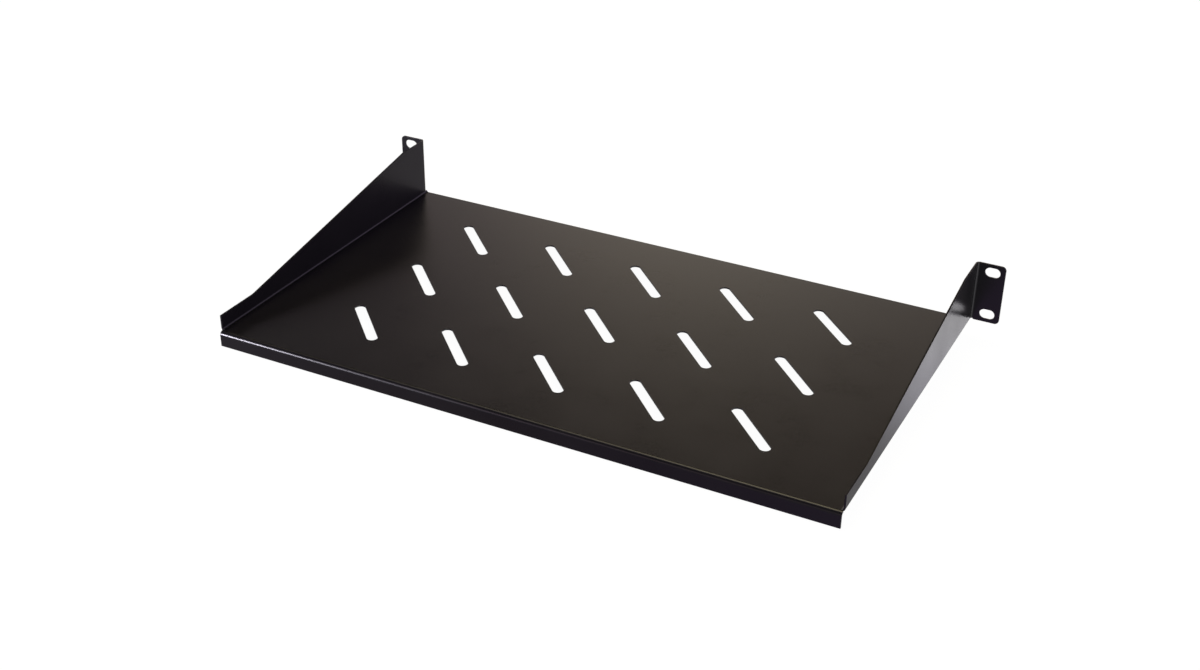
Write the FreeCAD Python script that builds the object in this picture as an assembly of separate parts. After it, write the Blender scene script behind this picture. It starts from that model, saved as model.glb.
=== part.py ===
import FreeCAD, Part
import math
import os

# Cantilever rack shelf, 1U high, for a 19-inch rack. One sheet of steel, cut and folded.
# Millimetres, +Z up. X runs across the rack, Y runs from the front of the rack towards the back.
# The origin is the centre of the four ear slots, in the plane of the ears' mating face (the face
# that bears on the rack's posts), so the ears lie from y = -sheet to y = 0 and the tray is at +Y.

# ---- rack standard -------------------------------------------------------------------------
rack_width = 482.6          # over both ears
hole_spacing_x = 465.1      # centre to centre across the rack
hole_spacing_z = 31.75      # between the two outer holes of one rack unit
panel_height = 43.7         # height of a 1U ear

# ---- sheet ---------------------------------------------------------------------------------
sheet = 1.2                 # thickness
bend_in = 1.6               # inside radius of every bend
bend_out = bend_in + sheet  # outside radius of every bend

# ---- tray ----------------------------------------------------------------------------------
tray_width = 443.6          # over the outer faces of the two side walls
depth = 258.0               # front face of the ears to outer face of the lip
ear_bottom_above_tray = 0.8  # ear's lower edge above the tray's top face
lip_drop = 11.0             # tray's top face to the lip's lower edge
lip_setback = 1.0           # each end of the lip stops short of the side wall's outer face

# ---- side walls (gussets) ------------------------------------------------------------------
wall_level_front = 30.0     # level stretch of the top edge beside the ear, from the ear's front face
wall_level_back = 38.0      # level stretch of the top edge at the free end, from the lip's outer face
wall_back_height = 10.8     # side wall's height above the tray's top face at the free end
wall_back_gap = 3.1         # side wall's end to the lip's outer face

# ---- ears ----------------------------------------------------------------------------------
ear_corner = 3.0            # radius of the ear's two outer corners
ear_slot_length = 10.4
ear_slot_width = 7.1

# ---- vent slots ----------------------------------------------------------------------------
slot_columns = 5
slot_rows = 3
slot_pitch_x = 70.8
slot_pitch_y = 72.2
slot_length = 51.0          # end to end
slot_width = 7.45
slot_angle = 135.0          # degrees from +X
slot_middle_row = 128.5     # middle row, from the ears' front face

# ---- bend reliefs --------------------------------------------------------------------------
relief_inboard = 3.2        # inner end of the slit between side wall and lip, from the side wall's outer face
relief_slit = wall_back_gap - bend_out   # width of that slit
front_turn = 82.5           # degrees of the side wall's bend that run on under the ear, to the tray's front edge


def v(x, y, z):
    return FreeCAD.Vector(x, y, z)


def arc(centre, radius, a0, a1, plane):
    """Arc of a circle from angle a0 to a1 (degrees). plane gives the two axes the angle turns through."""
    am = 0.5 * (a0 + a1)
    points = []
    for a in (a0, am, a1):
        c, s = radius * math.cos(math.radians(a)), radius * math.sin(math.radians(a))
        points.append(centre + plane[0] * c + plane[1] * s)
    return Part.Arc(*points).toShape()


def line(a, b):
    return Part.LineSegment(a, b).toShape()


def face(edges):
    return Part.Face(Part.Wire(edges))


X, Y, Z = v(1, 0, 0), v(0, 1, 0), v(0, 0, 1)

half = tray_width / 2.0
# Height of the tray's top face: the ear's centre is z = 0.
top = -(ear_bottom_above_tray + panel_height / 2.0)
ear_top = panel_height / 2.0
ear_bottom = -panel_height / 2.0
front = -sheet                       # front face of the ears and front edge of the tray
back = depth - sheet                 # outer face of the lip
wall_front = bend_in                 # where the side wall starts to turn out into the ear
wall_back = back - wall_back_gap     # end of the side wall
bend_line = back - bend_out          # where the tray starts to turn down into the lip

# ---- tray with its two side walls: a U section drawn along Y ---------------------------------
cl, cr = v(-half + bend_out, 0, top + bend_in), v(half - bend_out, 0, top + bend_in)
section = face([
    line(v(-half, 0, ear_top), v(-half, 0, top + bend_in)),
    arc(cl, bend_out, 180, 270, (X, Z)),
    line(v(-half + bend_out, 0, top - sheet), v(half - bend_out, 0, top - sheet)),
    arc(cr, bend_out, 270, 360, (X, Z)),
    line(v(half, 0, top + bend_in), v(half, 0, ear_top)),
    line(v(half, 0, ear_top), v(half - sheet, 0, ear_top)),
    line(v(half - sheet, 0, ear_top), v(half - sheet, 0, top + bend_in)),
    arc(cr, bend_in, 360, 270, (X, Z)),
    line(v(half - bend_out, 0, top), v(-half + bend_out, 0, top)),
    arc(cl, bend_in, 270, 180, (X, Z)),
    line(v(-half + sheet, 0, top + bend_in), v(-half + sheet, 0, ear_top)),
    line(v(-half + sheet, 0, ear_top), v(-half, 0, ear_top)),
])
section.translate(v(0, wall_front, 0))
channel = section.extrude(v(0, wall_back - wall_front, 0))

# The side walls' top edge: level by the ear, a straight slope, then level again to the free end.
level_end = front + wall_level_front
slope_end = back - wall_level_back
low = top + wall_back_height
beyond = 20.0
above = Part.Face(Part.makePolygon([
    v(-rack_width, level_end, ear_top), v(-rack_width, slope_end, low), v(-rack_width, back + beyond, low),
    v(-rack_width, back + beyond, ear_top + beyond), v(-rack_width, level_end, ear_top + beyond),
    v(-rack_width, level_end, ear_top)])).extrude(v(2 * rack_width, 0, 0))
channel = channel.cut(above)

# ---- tray's front strip, which runs on under the ears with the first part of the side walls' bends ----
xr = half - relief_inboard
z0 = top - sheet


def on(centre, radius, angle):
    a = math.radians(angle)
    return centre + X * (radius * math.cos(a)) + Z * (radius * math.sin(a))


strip = face([
    line(on(cl, bend_out, 270), on(cr, bend_out, 270)),
    arc(cr, bend_out, 270, 270 + front_turn, (X, Z)),
    line(on(cr, bend_out, 270 + front_turn), on(cr, bend_in, 270 + front_turn)),
    arc(cr, bend_in, 270 + front_turn, 270, (X, Z)),
    line(on(cr, bend_in, 270), on(cl, bend_in, 270)),
    arc(cl, bend_in, 270, 270 - front_turn, (X, Z)),
    line(on(cl, bend_in, 270 - front_turn), on(cl, bend_out, 270 - front_turn)),
    arc(cl, bend_out, 270 - front_turn, 270, (X, Z)),
])
strip.translate(v(0, front, 0))
strip = strip.extrude(v(0, wall_front - front, 0))

# ---- tray's back strip and the lip ----------------------------------------------------------
# A slit with square ends parts it from each side wall's bend.
back_strip = face([
    line(v(-xr, wall_back, z0), v(xr, wall_back, z0)),
    line(v(xr, wall_back, z0), v(xr, bend_line, z0)),
    line(v(xr, bend_line, z0), v(-xr, bend_line, z0)),
    line(v(-xr, bend_line, z0), v(-xr, wall_back, z0)),
]).extrude(v(0, 0, sheet))

lip_half = half - lip_setback
lip_low = top - lip_drop
cy, cz = bend_line, top - bend_out
lip = face([
    line(v(-lip_half, cy, top - sheet), v(-lip_half, cy, top)),
    arc(v(-lip_half, cy, cz), bend_out, 90, 0, (Y, Z)),
    line(v(-lip_half, back, cz), v(-lip_half, back, lip_low)),
    line(v(-lip_half, back, lip_low), v(-lip_half, back - sheet, lip_low)),
    line(v(-lip_half, back - sheet, lip_low), v(-lip_half, back - sheet, cz)),
    arc(v(-lip_half, cy, cz), bend_in, 0, 90, (Y, Z)),
]).extrude(v(2 * lip_half, 0, 0))

# ---- ears: each side wall turns outwards, with its inside radius towards the tray's back ------
# The ear's bend starts where the side wall is upright, so a slit parts it from the bend below it.
ear_end = rack_width / 2.0
bend_low = top + bend_in


def make_ear(side):
    """side is +1 for the ear at +X and -1 for the ear at -X."""
    s = float(side)
    U = v(s, 0, 0)
    c = v(s * (half + bend_in), bend_in, bend_low)
    bend = face([
        line(v(s * half, bend_in, bend_low), v(s * (half - sheet), bend_in, bend_low)),
        arc(c, bend_out, 180, 270, (U, Y)),
        line(v(s * (half + bend_in), front, bend_low), v(s * (half + bend_in), 0, bend_low)),
        arc(c, bend_in, 270, 180, (U, Y)),
    ]).extrude(v(0, 0, ear_top - bend_low))
    x0, r = s * (half + bend_in), ear_corner
    flat = face([
        line(v(x0, front, ear_bottom), v(s * (ear_end - r), front, ear_bottom)),
        arc(v(s * (ear_end - r), front, ear_bottom + r), r, 270, 360, (U, Z)),
        line(v(s * ear_end, front, ear_bottom + r), v(s * ear_end, front, ear_top - r)),
        arc(v(s * (ear_end - r), front, ear_top - r), r, 0, 90, (U, Z)),
        line(v(s * (ear_end - r), front, ear_top), v(x0, front, ear_top)),
        line(v(x0, front, ear_top), v(x0, front, ear_bottom)),
    ]).extrude(v(0, sheet, 0))
    return bend.fuse(flat)


blank = channel.fuse([strip, back_strip, lip, make_ear(1), make_ear(-1)]).removeSplitter()


# ---- slots: straight sides and half-round ends -----------------------------------------------
def slot_face(centre, length, width, along, across):
    h, r = length / 2.0 - width / 2.0, width / 2.0
    a, b = centre + along * h, centre - along * h
    return face([
        line(b - across * r, a - across * r),
        arc(a, r, -90, 90, (along, across)),
        line(a + across * r, b + across * r),
        arc(b, r, 90, 270, (along, across)),
    ])


cutters = []
ca, sa = math.cos(math.radians(slot_angle)), math.sin(math.radians(slot_angle))
along, across = v(ca, sa, 0), v(-sa, ca, 0)
for row in range(slot_rows):
    for column in range(slot_columns):
        centre = v((column - (slot_columns - 1) / 2.0) * slot_pitch_x,
                   front + slot_middle_row + (row - (slot_rows - 1) / 2.0) * slot_pitch_y, top - 5.0)
        cutters.append(slot_face(centre, slot_length, slot_width, along, across).extrude(v(0, 0, 10.0)))
for sx in (-1, 1):
    for sz in (-1, 1):
        centre = v(sx * hole_spacing_x / 2.0, front - 5.0, sz * hole_spacing_z / 2.0)
        cutters.append(slot_face(centre, ear_slot_length, ear_slot_width, X, Z).extrude(v(0, sheet + 10.0, 0)))
shelf = blank.cut(cutters).removeSplitter()
shelf = shelf.Solids[0] if len(shelf.Solids) == 1 else shelf

print("solids", len(shelf.Solids), "valid", shelf.isValid(), "faces", len(shelf.Faces))
print("volume cm3 %.2f" % (shelf.Volume / 1000.0), "area cm2 %.1f" % (shelf.Area / 100.0))
b = shelf.BoundBox
print("box %.2f %.2f %.2f to %.2f %.2f %.2f" % (b.XMin, b.YMin, b.ZMin, b.XMax, b.YMax, b.ZMax))

os.makedirs("parts", exist_ok=True)
shelf.exportStep("parts/shelf.step")
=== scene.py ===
import bpy
import math
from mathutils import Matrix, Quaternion, Vector


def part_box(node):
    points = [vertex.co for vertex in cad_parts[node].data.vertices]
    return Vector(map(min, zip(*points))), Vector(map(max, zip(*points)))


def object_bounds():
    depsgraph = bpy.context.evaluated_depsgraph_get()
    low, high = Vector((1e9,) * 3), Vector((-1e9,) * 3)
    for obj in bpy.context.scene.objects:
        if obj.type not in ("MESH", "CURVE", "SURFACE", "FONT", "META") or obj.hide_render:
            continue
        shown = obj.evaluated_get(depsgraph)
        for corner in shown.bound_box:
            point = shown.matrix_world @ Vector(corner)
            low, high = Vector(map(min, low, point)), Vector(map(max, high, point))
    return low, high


# Cantilever rack shelf, one folded sheet of black coated steel. Everything is in metres, in the
# row frame: +X across the rack, +Y from the front of the rack to the back, +Z up.

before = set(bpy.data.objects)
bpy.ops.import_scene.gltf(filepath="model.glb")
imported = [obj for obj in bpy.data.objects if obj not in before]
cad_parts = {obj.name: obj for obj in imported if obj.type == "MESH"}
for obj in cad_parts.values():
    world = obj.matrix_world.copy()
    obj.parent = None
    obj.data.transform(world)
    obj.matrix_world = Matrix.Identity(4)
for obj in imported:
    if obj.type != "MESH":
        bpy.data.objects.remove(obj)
cad_low, cad_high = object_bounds()
scene = bpy.context.scene
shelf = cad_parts["shelf"]
low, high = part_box("shelf")


# ---- camera: the photograph's viewing angle, no shift, no depth of field ---------------------
camera_data = bpy.data.cameras.new("camera")
camera_data.sensor_width = 36.0
camera_data.sensor_fit = "HORIZONTAL"
camera_data.lens = 48.188
camera_data.dof.use_dof = False
camera_data.clip_start, camera_data.clip_end = 0.01, 100.0
camera = bpy.data.objects.new("camera", camera_data)
camera.rotation_mode = "QUATERNION"
camera.location = (-0.43269, 0.97975, 0.51168)
camera.rotation_quaternion = Quaternion((-0.205606, -0.114172, 0.490124, 0.839326))
scene.collection.objects.link(camera)
scene.camera = camera
scene.view_settings.view_transform = "Standard"
scene.view_settings.look = "None"


# ---- small helpers for node trees ------------------------------------------------------------
class Tree:
    """Adds nodes to a tree. A socket or a number can be given for each input."""

    def __init__(self, tree):
        self.tree = tree
        tree.nodes.clear()

    def put(self, socket, value):
        if isinstance(value, bpy.types.NodeSocket):
            self.tree.links.new(value, socket)
        else:
            socket.default_value = value

    def add(self, kind, inputs=None, **settings):
        n = self.tree.nodes.new(kind)
        for k, value in settings.items():
            setattr(n, k, value)
        for k, value in (inputs or {}).items():
            self.put(n.inputs[k], value)
        return n

    def math(self, operation, a, b=None, c=None, clamp=False):
        n = self.tree.nodes.new("ShaderNodeMath")
        n.operation, n.use_clamp = operation, clamp
        for i, value in enumerate((a, b, c)):
            if value is not None:
                self.put(n.inputs[i], value)
        return n.outputs[0]

    def ramp(self, value, stops, interpolation="LINEAR"):
        n = self.tree.nodes.new("ShaderNodeValToRGB")
        n.color_ramp.interpolation = interpolation
        e = n.color_ramp.elements
        while len(e) > 1:
            e.remove(e[-1])
        e[0].position, e[0].color = stops[0][0], (*stops[0][1], 1.0)
        for place, colour in stops[1:]:
            made = e.new(place)
            made.color = (*colour, 1.0)
        self.put(n.inputs[0], value)
        return n.outputs[0]

    def scale(self, colour, factor):
        n = self.tree.nodes.new("ShaderNodeVectorMath")
        n.operation = "SCALE"
        self.put(n.inputs[0], colour)
        self.put(n.inputs["Scale"], factor)
        return n.outputs[0]

    def plus(self, a, b):
        n = self.tree.nodes.new("ShaderNodeVectorMath")
        n.operation = "ADD"
        self.put(n.inputs[0], a)
        self.put(n.inputs[1], b)
        return n.outputs[0]

    def step(self, value, a, b):
        """0 below a, 1 above b, smooth between."""
        n = self.add("ShaderNodeMapRange", {"Value": value, "From Min": a, "From Max": b, "To Min": 0.0, "To Max": 1.0},
                     interpolation_type="SMOOTHSTEP")
        return n.outputs[0]


# ---- studio: bands of light all round, a pale floor and a small lamp ------------------------------
world = bpy.data.worlds.new("studio")
scene.world = world
world.use_nodes = True
t = Tree(world.node_tree)
direction = t.add("ShaderNodeTexCoord").outputs["Generated"]
split = t.add("ShaderNodeSeparateXYZ", {0: direction})
dx, dy, dz = split.outputs
level = t.math("SQRT", t.math("ADD", t.math("MULTIPLY", dx, dx), t.math("MULTIPLY", dy, dy)))
level = t.math("MAXIMUM", level, 1e-4)
elevation = t.math("MULTIPLY", t.math("ARCTAN2", dz, level), 180.0 / math.pi)   # degrees above the floor


def bearing(degrees):
    """Level direction at that bearing, from behind the shelf as the camera sees it, clockwise."""
    a = math.radians(degrees)
    return -math.sin(a), -math.cos(a)


def away(degrees, elevation_degrees):
    """Unit vector towards that bearing and elevation."""
    bx, by = bearing(degrees)
    e = math.radians(elevation_degrees)
    return Vector((bx * math.cos(e), by * math.cos(e), math.sin(e)))


def heights(stops):
    """Colour by elevation. stops are (degrees, (r, g, b))."""
    return t.ramp(t.math("MULTIPLY_ADD", elevation, 1.0 / 180.0, 0.5), [((e + 90.0) / 180.0, c) for e, c in stops])


def towards(degrees, spread):
    """1 at that bearing, falling off over spread degrees to each side."""
    x, y = bearing(degrees)
    along = t.math("DIVIDE", t.math("ADD", t.math("MULTIPLY", dx, x), t.math("MULTIPLY", dy, y)), level)
    return t.math("EXPONENT", t.math("MULTIPLY", t.math("SUBTRACT", along, 1.0), 1.0 / math.radians(spread) ** 2))


def spot(degrees, elevation_degrees, spread):
    """1 in that direction, falling off over spread degrees all round it."""
    n = t.add("ShaderNodeVectorMath", {0: direction, 1: away(degrees, elevation_degrees)}, operation="DOT_PRODUCT")
    return t.math("EXPONENT", t.math("MULTIPLY", t.math("SUBTRACT", n.outputs["Value"], 1.0), 1.0 / math.radians(spread) ** 2))


# Bands of light: bearing, spread, and the colour at each elevation, all in degrees.
# These aren't the parts of a real room. The values, and those of SPOTS and the lamp, were solved by least
# squares so that the shelf's shading in the main view comes out as wanted.
# The last three bands were set for the sides that the main view doesn't show.
LOBES = (
    # behind the shelf, 46 degrees left
    (-46, 9, [(-10, (0.45, 0.45, 0.45)), (8, (0.42, 0.42, 0.42)), (16, (0.38, 0.38, 0.38)), (24, (0.12, 0.12,
             0.12)), (32, (0.00, 0.00, 0.00))]),
    # behind, 33 degrees left
    (-33, 6, [(-10, (0.76, 0.74, 0.72)), (8, (0.63, 0.47, 0.49)), (18, (0.00, 0.00, 0.00)), (23, (0.31, 0.21,
             0.36)), (27, (0.02, 0.00, 0.02)), (31, (0.00, 0.00, 0.00))]),
    # behind, 24 degrees left
    (-24, 5, [(-10, (0.73, 0.72, 0.70)), (8, (0.85, 0.78, 0.67)), (18, (2.29, 2.03, 1.86)), (23, (2.25, 1.98,
             1.43)), (27, (0.12, 0.10, 0.03)), (31, (0.02, 0.00, 0.00)), (36, (0.02, 0.00, 0.00)), (44, (0.00, 0.00,
             0.00))]),
    # behind, 16 degrees left
    (-16, 5, [(-10, (0.78, 0.77, 0.75)), (8, (0.79, 0.73, 0.66)), (18, (0.79, 0.72, 0.68)), (23, (0.55, 0.49,
             0.46)), (27, (0.01, 0.00, 0.00)), (31, (0.02, 0.00, 0.00)), (36, (0.02, 0.00, 0.00)), (44, (0.00, 0.00,
             0.00))]),
    # behind, 6 degrees left
    (-6, 7, [(-10, (1.17, 1.19, 1.07)), (8, (0.80, 0.73, 0.69)), (18, (0.79, 0.69, 0.65)), (24, (0.72, 0.58, 0.50)),
             (30, (0.22, 0.17, 0.09)), (36, (0.01, 0.00, 0.00))]),
    # behind, 9 degrees right
    (9, 5, [(-50, (0.41, 0.40, 0.41)), (-37, (0.31, 0.31, 0.30)), (-33, (0.23, 0.23, 0.21)), (-31, (2.24, 2.19,
             2.52)), (-29, (2.54, 2.52, 2.56)), (-24, (0.00, 0.00, 0.00))]),
    # behind, 18 degrees right
    (18, 6, [(-50, (0.42, 0.41, 0.42)), (-37, (0.36, 0.34, 0.35)), (-33, (0.00, 0.00, 0.00)), (-31, (0.00, 0.00,
             0.00)), (-29, (0.11, 0.08, 0.11)), (-24, (0.00, 0.00, 0.01))]),
    # behind, 40 degrees right
    (40, 9, [(-36, (0.35, 0.30, 0.33)), (-22, (0.01, 0.00, 0.00)), (-14, (0.64, 0.53, 0.61)), (0, (0.94, 0.83,
             1.04)), (16, (0.69, 0.47, 0.93)), (35, (0.15, 0.13, 0.17)), (50, (0.00, 0.00, 0.00))]),
    # to the right
    (100, 32, [(-90, (0.50, 0.50, 0.50)), (-50, (0.95, 0.94, 0.96)), (-15, (1.18, 1.14, 1.21)), (8, (0.77, 0.76,
             0.78)), (40, (0.27, 0.27, 0.27)), (70, (0.00, 0.00, 0.00))]),
    # to the left, low
    (-126, 10, [(-50, (0.00, 0.00, 0.00)), (-36, (0.10, 0.07, 0.16)), (-28, (0.00, 0.00, 0.02)), (-18, (0.00, 0.00,
             0.00))]),
    # near the camera, left, low
    (-138, 7, [(-50, (0.00, 0.00, 0.00)), (-36, (0.44, 0.34, 0.22)), (-28, (0.00, 0.00, 0.02)), (-18, (0.00, 0.00,
             0.00))]),
    # near the camera, left
    (-152, 8, [(8, (0.00, 0.00, 0.00)), (16, (1.40, 0.62, 1.00)), (24, (0.08, 0.06, 0.07)), (32, (0.00, 0.00,
             0.00))]),
    # near the camera, low
    (-170, 9, [(-50, (0.00, 0.00, 0.00)), (-30, (0.34, 0.19, 0.47)), (-10, (0.00, 0.00, 0.00))]),
    # given: right, near the camera
    (140, 26, [(-40, (0.15, 0.15, 0.15)), (-10, (0.50, 0.50, 0.50)), (10, (0.80, 0.80, 0.80)), (30, (0.85, 0.85,
             0.85)), (50, (0.40, 0.40, 0.40)), (72, (0.00, 0.00, 0.00))]),
    # given: left
    (-88, 18, [(-50, (0.30, 0.30, 0.30)), (-18, (0.80, 0.80, 0.80)), (0, (1.10, 1.10, 1.10)), (18, (0.80, 0.80,
             0.80)), (42, (0.00, 0.00, 0.00))]),
    # given: opposite the ears
    (178, 9, [(-18, (0.00, 0.00, 0.00)), (-4, (0.16, 0.16, 0.16)), (8, (0.16, 0.16, 0.16)), (22, (0.00, 0.00,
             0.00))]),
)

# Round patches of light overhead: bearing, elevation, spread and colour.
SPOTS = (
    (-100, 72, 8, (0.22, 0.18, 0.27)),
    (-70, 72, 8, (0.69, 0.59, 0.92)),
    (-40, 72, 8, (5.89, 5.19, 3.10)),
)

light = heights([(-90, (0.00, 0.00, 0.00)), (90, (0.00, 0.00, 0.00))])
for degrees, spread, stops in LOBES:
    light = t.plus(light, t.scale(heights(stops), towards(degrees, spread)))
for degrees, elevation_degrees, spread, shade in SPOTS:
    light = t.plus(light, t.scale(Vector(shade), spot(degrees, elevation_degrees, spread)))
lit = t.add("ShaderNodeBackground", {"Color": light, "Strength": 1.0})
white = t.add("ShaderNodeBackground", {"Color": (1.0, 1.0, 1.0, 1.0), "Strength": 1.0})
seen = t.add("ShaderNodeLightPath").outputs["Is Camera Ray"]
mix = t.add("ShaderNodeMixShader", {0: seen, 1: lit.outputs[0], 2: white.outputs[0]})
out = t.add("ShaderNodeOutputWorld")
t.tree.links.new(mix.outputs[0], out.inputs["Surface"])
world.cycles.sampling_method = "MANUAL"
world.cycles.sample_map_resolution = 1024


def soft_light(name, degrees, elevation_degrees, distance, width, height, watts, colour):
    data = bpy.data.lights.new(name, "AREA")
    data.shape, data.size, data.size_y = "RECTANGLE", width, height
    data.energy, data.color = watts, colour
    lamp = bpy.data.objects.new(name, data)
    place = away(degrees, elevation_degrees)
    lamp.location = place * distance
    lamp.rotation_mode = "QUATERNION"
    lamp.rotation_quaternion = place.to_track_quat("Z", "Y")
    lamp.visible_camera = False
    scene.collection.objects.link(lamp)
    return lamp


# A small lamp, low on the camera's left, draws the bright line along the lip's bend.
# Its power is radiance * pi * area.
soft_light("strip", -140.5, 1.7, 1.00, 0.092, 0.139, 151 * math.pi * 0.092 * 0.139, (0.90, 0.87, 1.00))

# ---- floor: plain and white ------------------------------------------------------------------
floor_mesh = bpy.data.meshes.new("floor")
reach = 15.0
z = cad_low.z
floor_mesh.from_pydata([(-reach, -reach, z), (reach, -reach, z), (reach, reach, z), (-reach, reach, z)], [], [(0, 1, 2, 3)])
floor = bpy.data.objects.new("floor", floor_mesh)
scene.collection.objects.link(floor)
floor.visible_glossy = False
floor.visible_diffuse = False
floor.visible_shadow = False
floor_material = bpy.data.materials.new("floor_white")
floor_material.use_nodes = True
floor_mesh.materials.append(floor_material)
t = Tree(floor_material.node_tree)
paper = t.add("ShaderNodeBsdfDiffuse", {"Color": (0.10, 0.10, 0.10, 1.0)})
own = t.add("ShaderNodeEmission", {"Color": (0.97, 0.97, 0.97, 1.0), "Strength": 1.0})
both = t.add("ShaderNodeAddShader", {0: own.outputs[0], 1: paper.outputs[0]})
clear = t.add("ShaderNodeBsdfTransparent")
back = t.add("ShaderNodeNewGeometry").outputs["Backfacing"]
mix = t.add("ShaderNodeMixShader", {0: back, 1: both.outputs[0], 2: clear.outputs[0]})
out = t.add("ShaderNodeOutputMaterial")
t.tree.links.new(mix.outputs[0], out.inputs["Surface"])


# ---- coating: smooth semi-gloss black powder coat --------------------------------------------
coat = bpy.data.materials.new("powder_coat_black")
coat.use_nodes = True
t = Tree(coat.node_tree)
place = t.add("ShaderNodeTexCoord").outputs["Object"]
clouds = t.add("ShaderNodeTexNoise", {"Vector": place, "Scale": 22.0, "Detail": 3.0, "Roughness": 0.55}).outputs[0]
peel = t.add("ShaderNodeTexNoise", {"Vector": place, "Scale": 950.0, "Detail": 1.5, "Roughness": 0.5}).outputs[0]
grain = t.add("ShaderNodeTexNoise", {"Vector": place, "Scale": 4200.0, "Detail": 1.0, "Roughness": 0.5}).outputs[0]
colour = t.ramp(clouds, [(0.30, (0.0041, 0.0034, 0.0048)), (0.70, (0.0051, 0.0044, 0.0059))])
roughness = t.add("ShaderNodeMapRange", {"Value": clouds, "From Min": 0.25, "From Max": 0.75, "To Min": 0.27, "To Max": 0.31}).outputs[0]
roughness = t.math("ADD", roughness, t.math("MULTIPLY", t.math("SUBTRACT", grain, 0.5), 0.04))
bump = t.add("ShaderNodeBump", {"Height": peel, "Strength": 0.10, "Distance": 0.00004})
shader = t.add("ShaderNodeBsdfPrincipled", {"Base Color": colour, "Roughness": roughness, "IOR": 1.5, "Normal": bump.outputs[0]})
out = t.add("ShaderNodeOutputMaterial")
t.tree.links.new(shader.outputs[0], out.inputs["Surface"])

for s in shelf.material_slots:
    s.material = coat


# ---- finer edges on the folded sheet: the coat rounds every cut edge ---------------------------
weld = shelf.modifiers.new("weld", "WELD")
weld.merge_threshold = 0.00001
flat = shelf.modifiers.new("flat", "DECIMATE")
flat.decimate_type = "DISSOLVE"
flat.angle_limit = math.radians(2.6)

# Cut edges get the rounding. The narrow slits at the ears' bends and beside the lip stay sharp.
rims = bpy.data.node_groups.new("cut_edges", "GeometryNodeTree")
rims.interface.new_socket("Geometry", in_out="INPUT", socket_type="NodeSocketGeometry")
rims.interface.new_socket("Geometry", in_out="OUTPUT", socket_type="NodeSocketGeometry")
g = Tree(rims)


def compare(operation, a, b):
    n = g.add("FunctionNodeCompare", data_type="FLOAT", operation=operation)
    g.put(n.inputs["A"], a)
    g.put(n.inputs["B"], b)
    return n.outputs["Result"]


def logic(operation, a, b=None):
    n = g.add("FunctionNodeBooleanMath", operation=operation)
    g.put(n.inputs[0], a)
    if b is not None:
        g.put(n.inputs[1], b)
    return n.outputs[0]


def within(place, low, high):
    """True where |x|, y and z all lie between low and high (metres)."""
    axes = g.add("ShaderNodeSeparateXYZ", {0: place}).outputs
    result = None
    for value, least, most in zip((g.math("ABSOLUTE", axes[0]), axes[1], axes[2]), low, high):
        part = logic("AND", compare("GREATER_THAN", value, least), compare("LESS_THAN", value, most))
        result = part if result is None else logic("AND", result, part)
    return result


def by_slit(place):
    front = logic("OR", within(place, (0.2190, -0.0020, -0.02145), (0.2225, 0.0017, -0.0210)),
                  within(place, (0.2220, -0.0020, -0.02190), (0.22345, 0.0017, -0.0210)))
    back = logic("OR", within(place, (0.2185, 0.25395, -0.0240), (0.2209, 0.25405, -0.0225)),
                 within(place, (0.2185, 0.25365, -0.0240), (0.2187, 0.25405, -0.0225)))
    return logic("OR", front, back)


ends = g.add("GeometryNodeInputMeshEdgeVertices")
turn = g.add("GeometryNodeInputMeshEdgeAngle").outputs["Unsigned Angle"]
cut = compare("GREATER_THAN", turn, math.radians(40))
kept = logic("AND", cut, logic("NOT", logic("AND", by_slit(ends.outputs["Position 1"]), by_slit(ends.outputs["Position 2"]))))
store = g.add("GeometryNodeStoreNamedAttribute", data_type="FLOAT", domain="EDGE")
g.put(store.inputs["Geometry"], g.add("NodeGroupInput").outputs[0])
g.put(store.inputs["Name"], "bevel_weight_edge")
g.put(store.inputs["Value"], kept)
g.put(g.add("NodeGroupOutput").inputs[0], store.outputs[0])
mark = shelf.modifiers.new("mark", "NODES")
mark.node_group = rims

edge = shelf.modifiers.new("edge", "BEVEL")
edge.limit_method = "WEIGHT"
edge.width = 0.00014
edge.segments = 3
edge.use_clamp_overlap = True
edge.loop_slide = False
edge.harden_normals = False
soft = shelf.modifiers.new("soft", "WEIGHTED_NORMAL")
soft.keep_sharp = False
soft.weight = 100
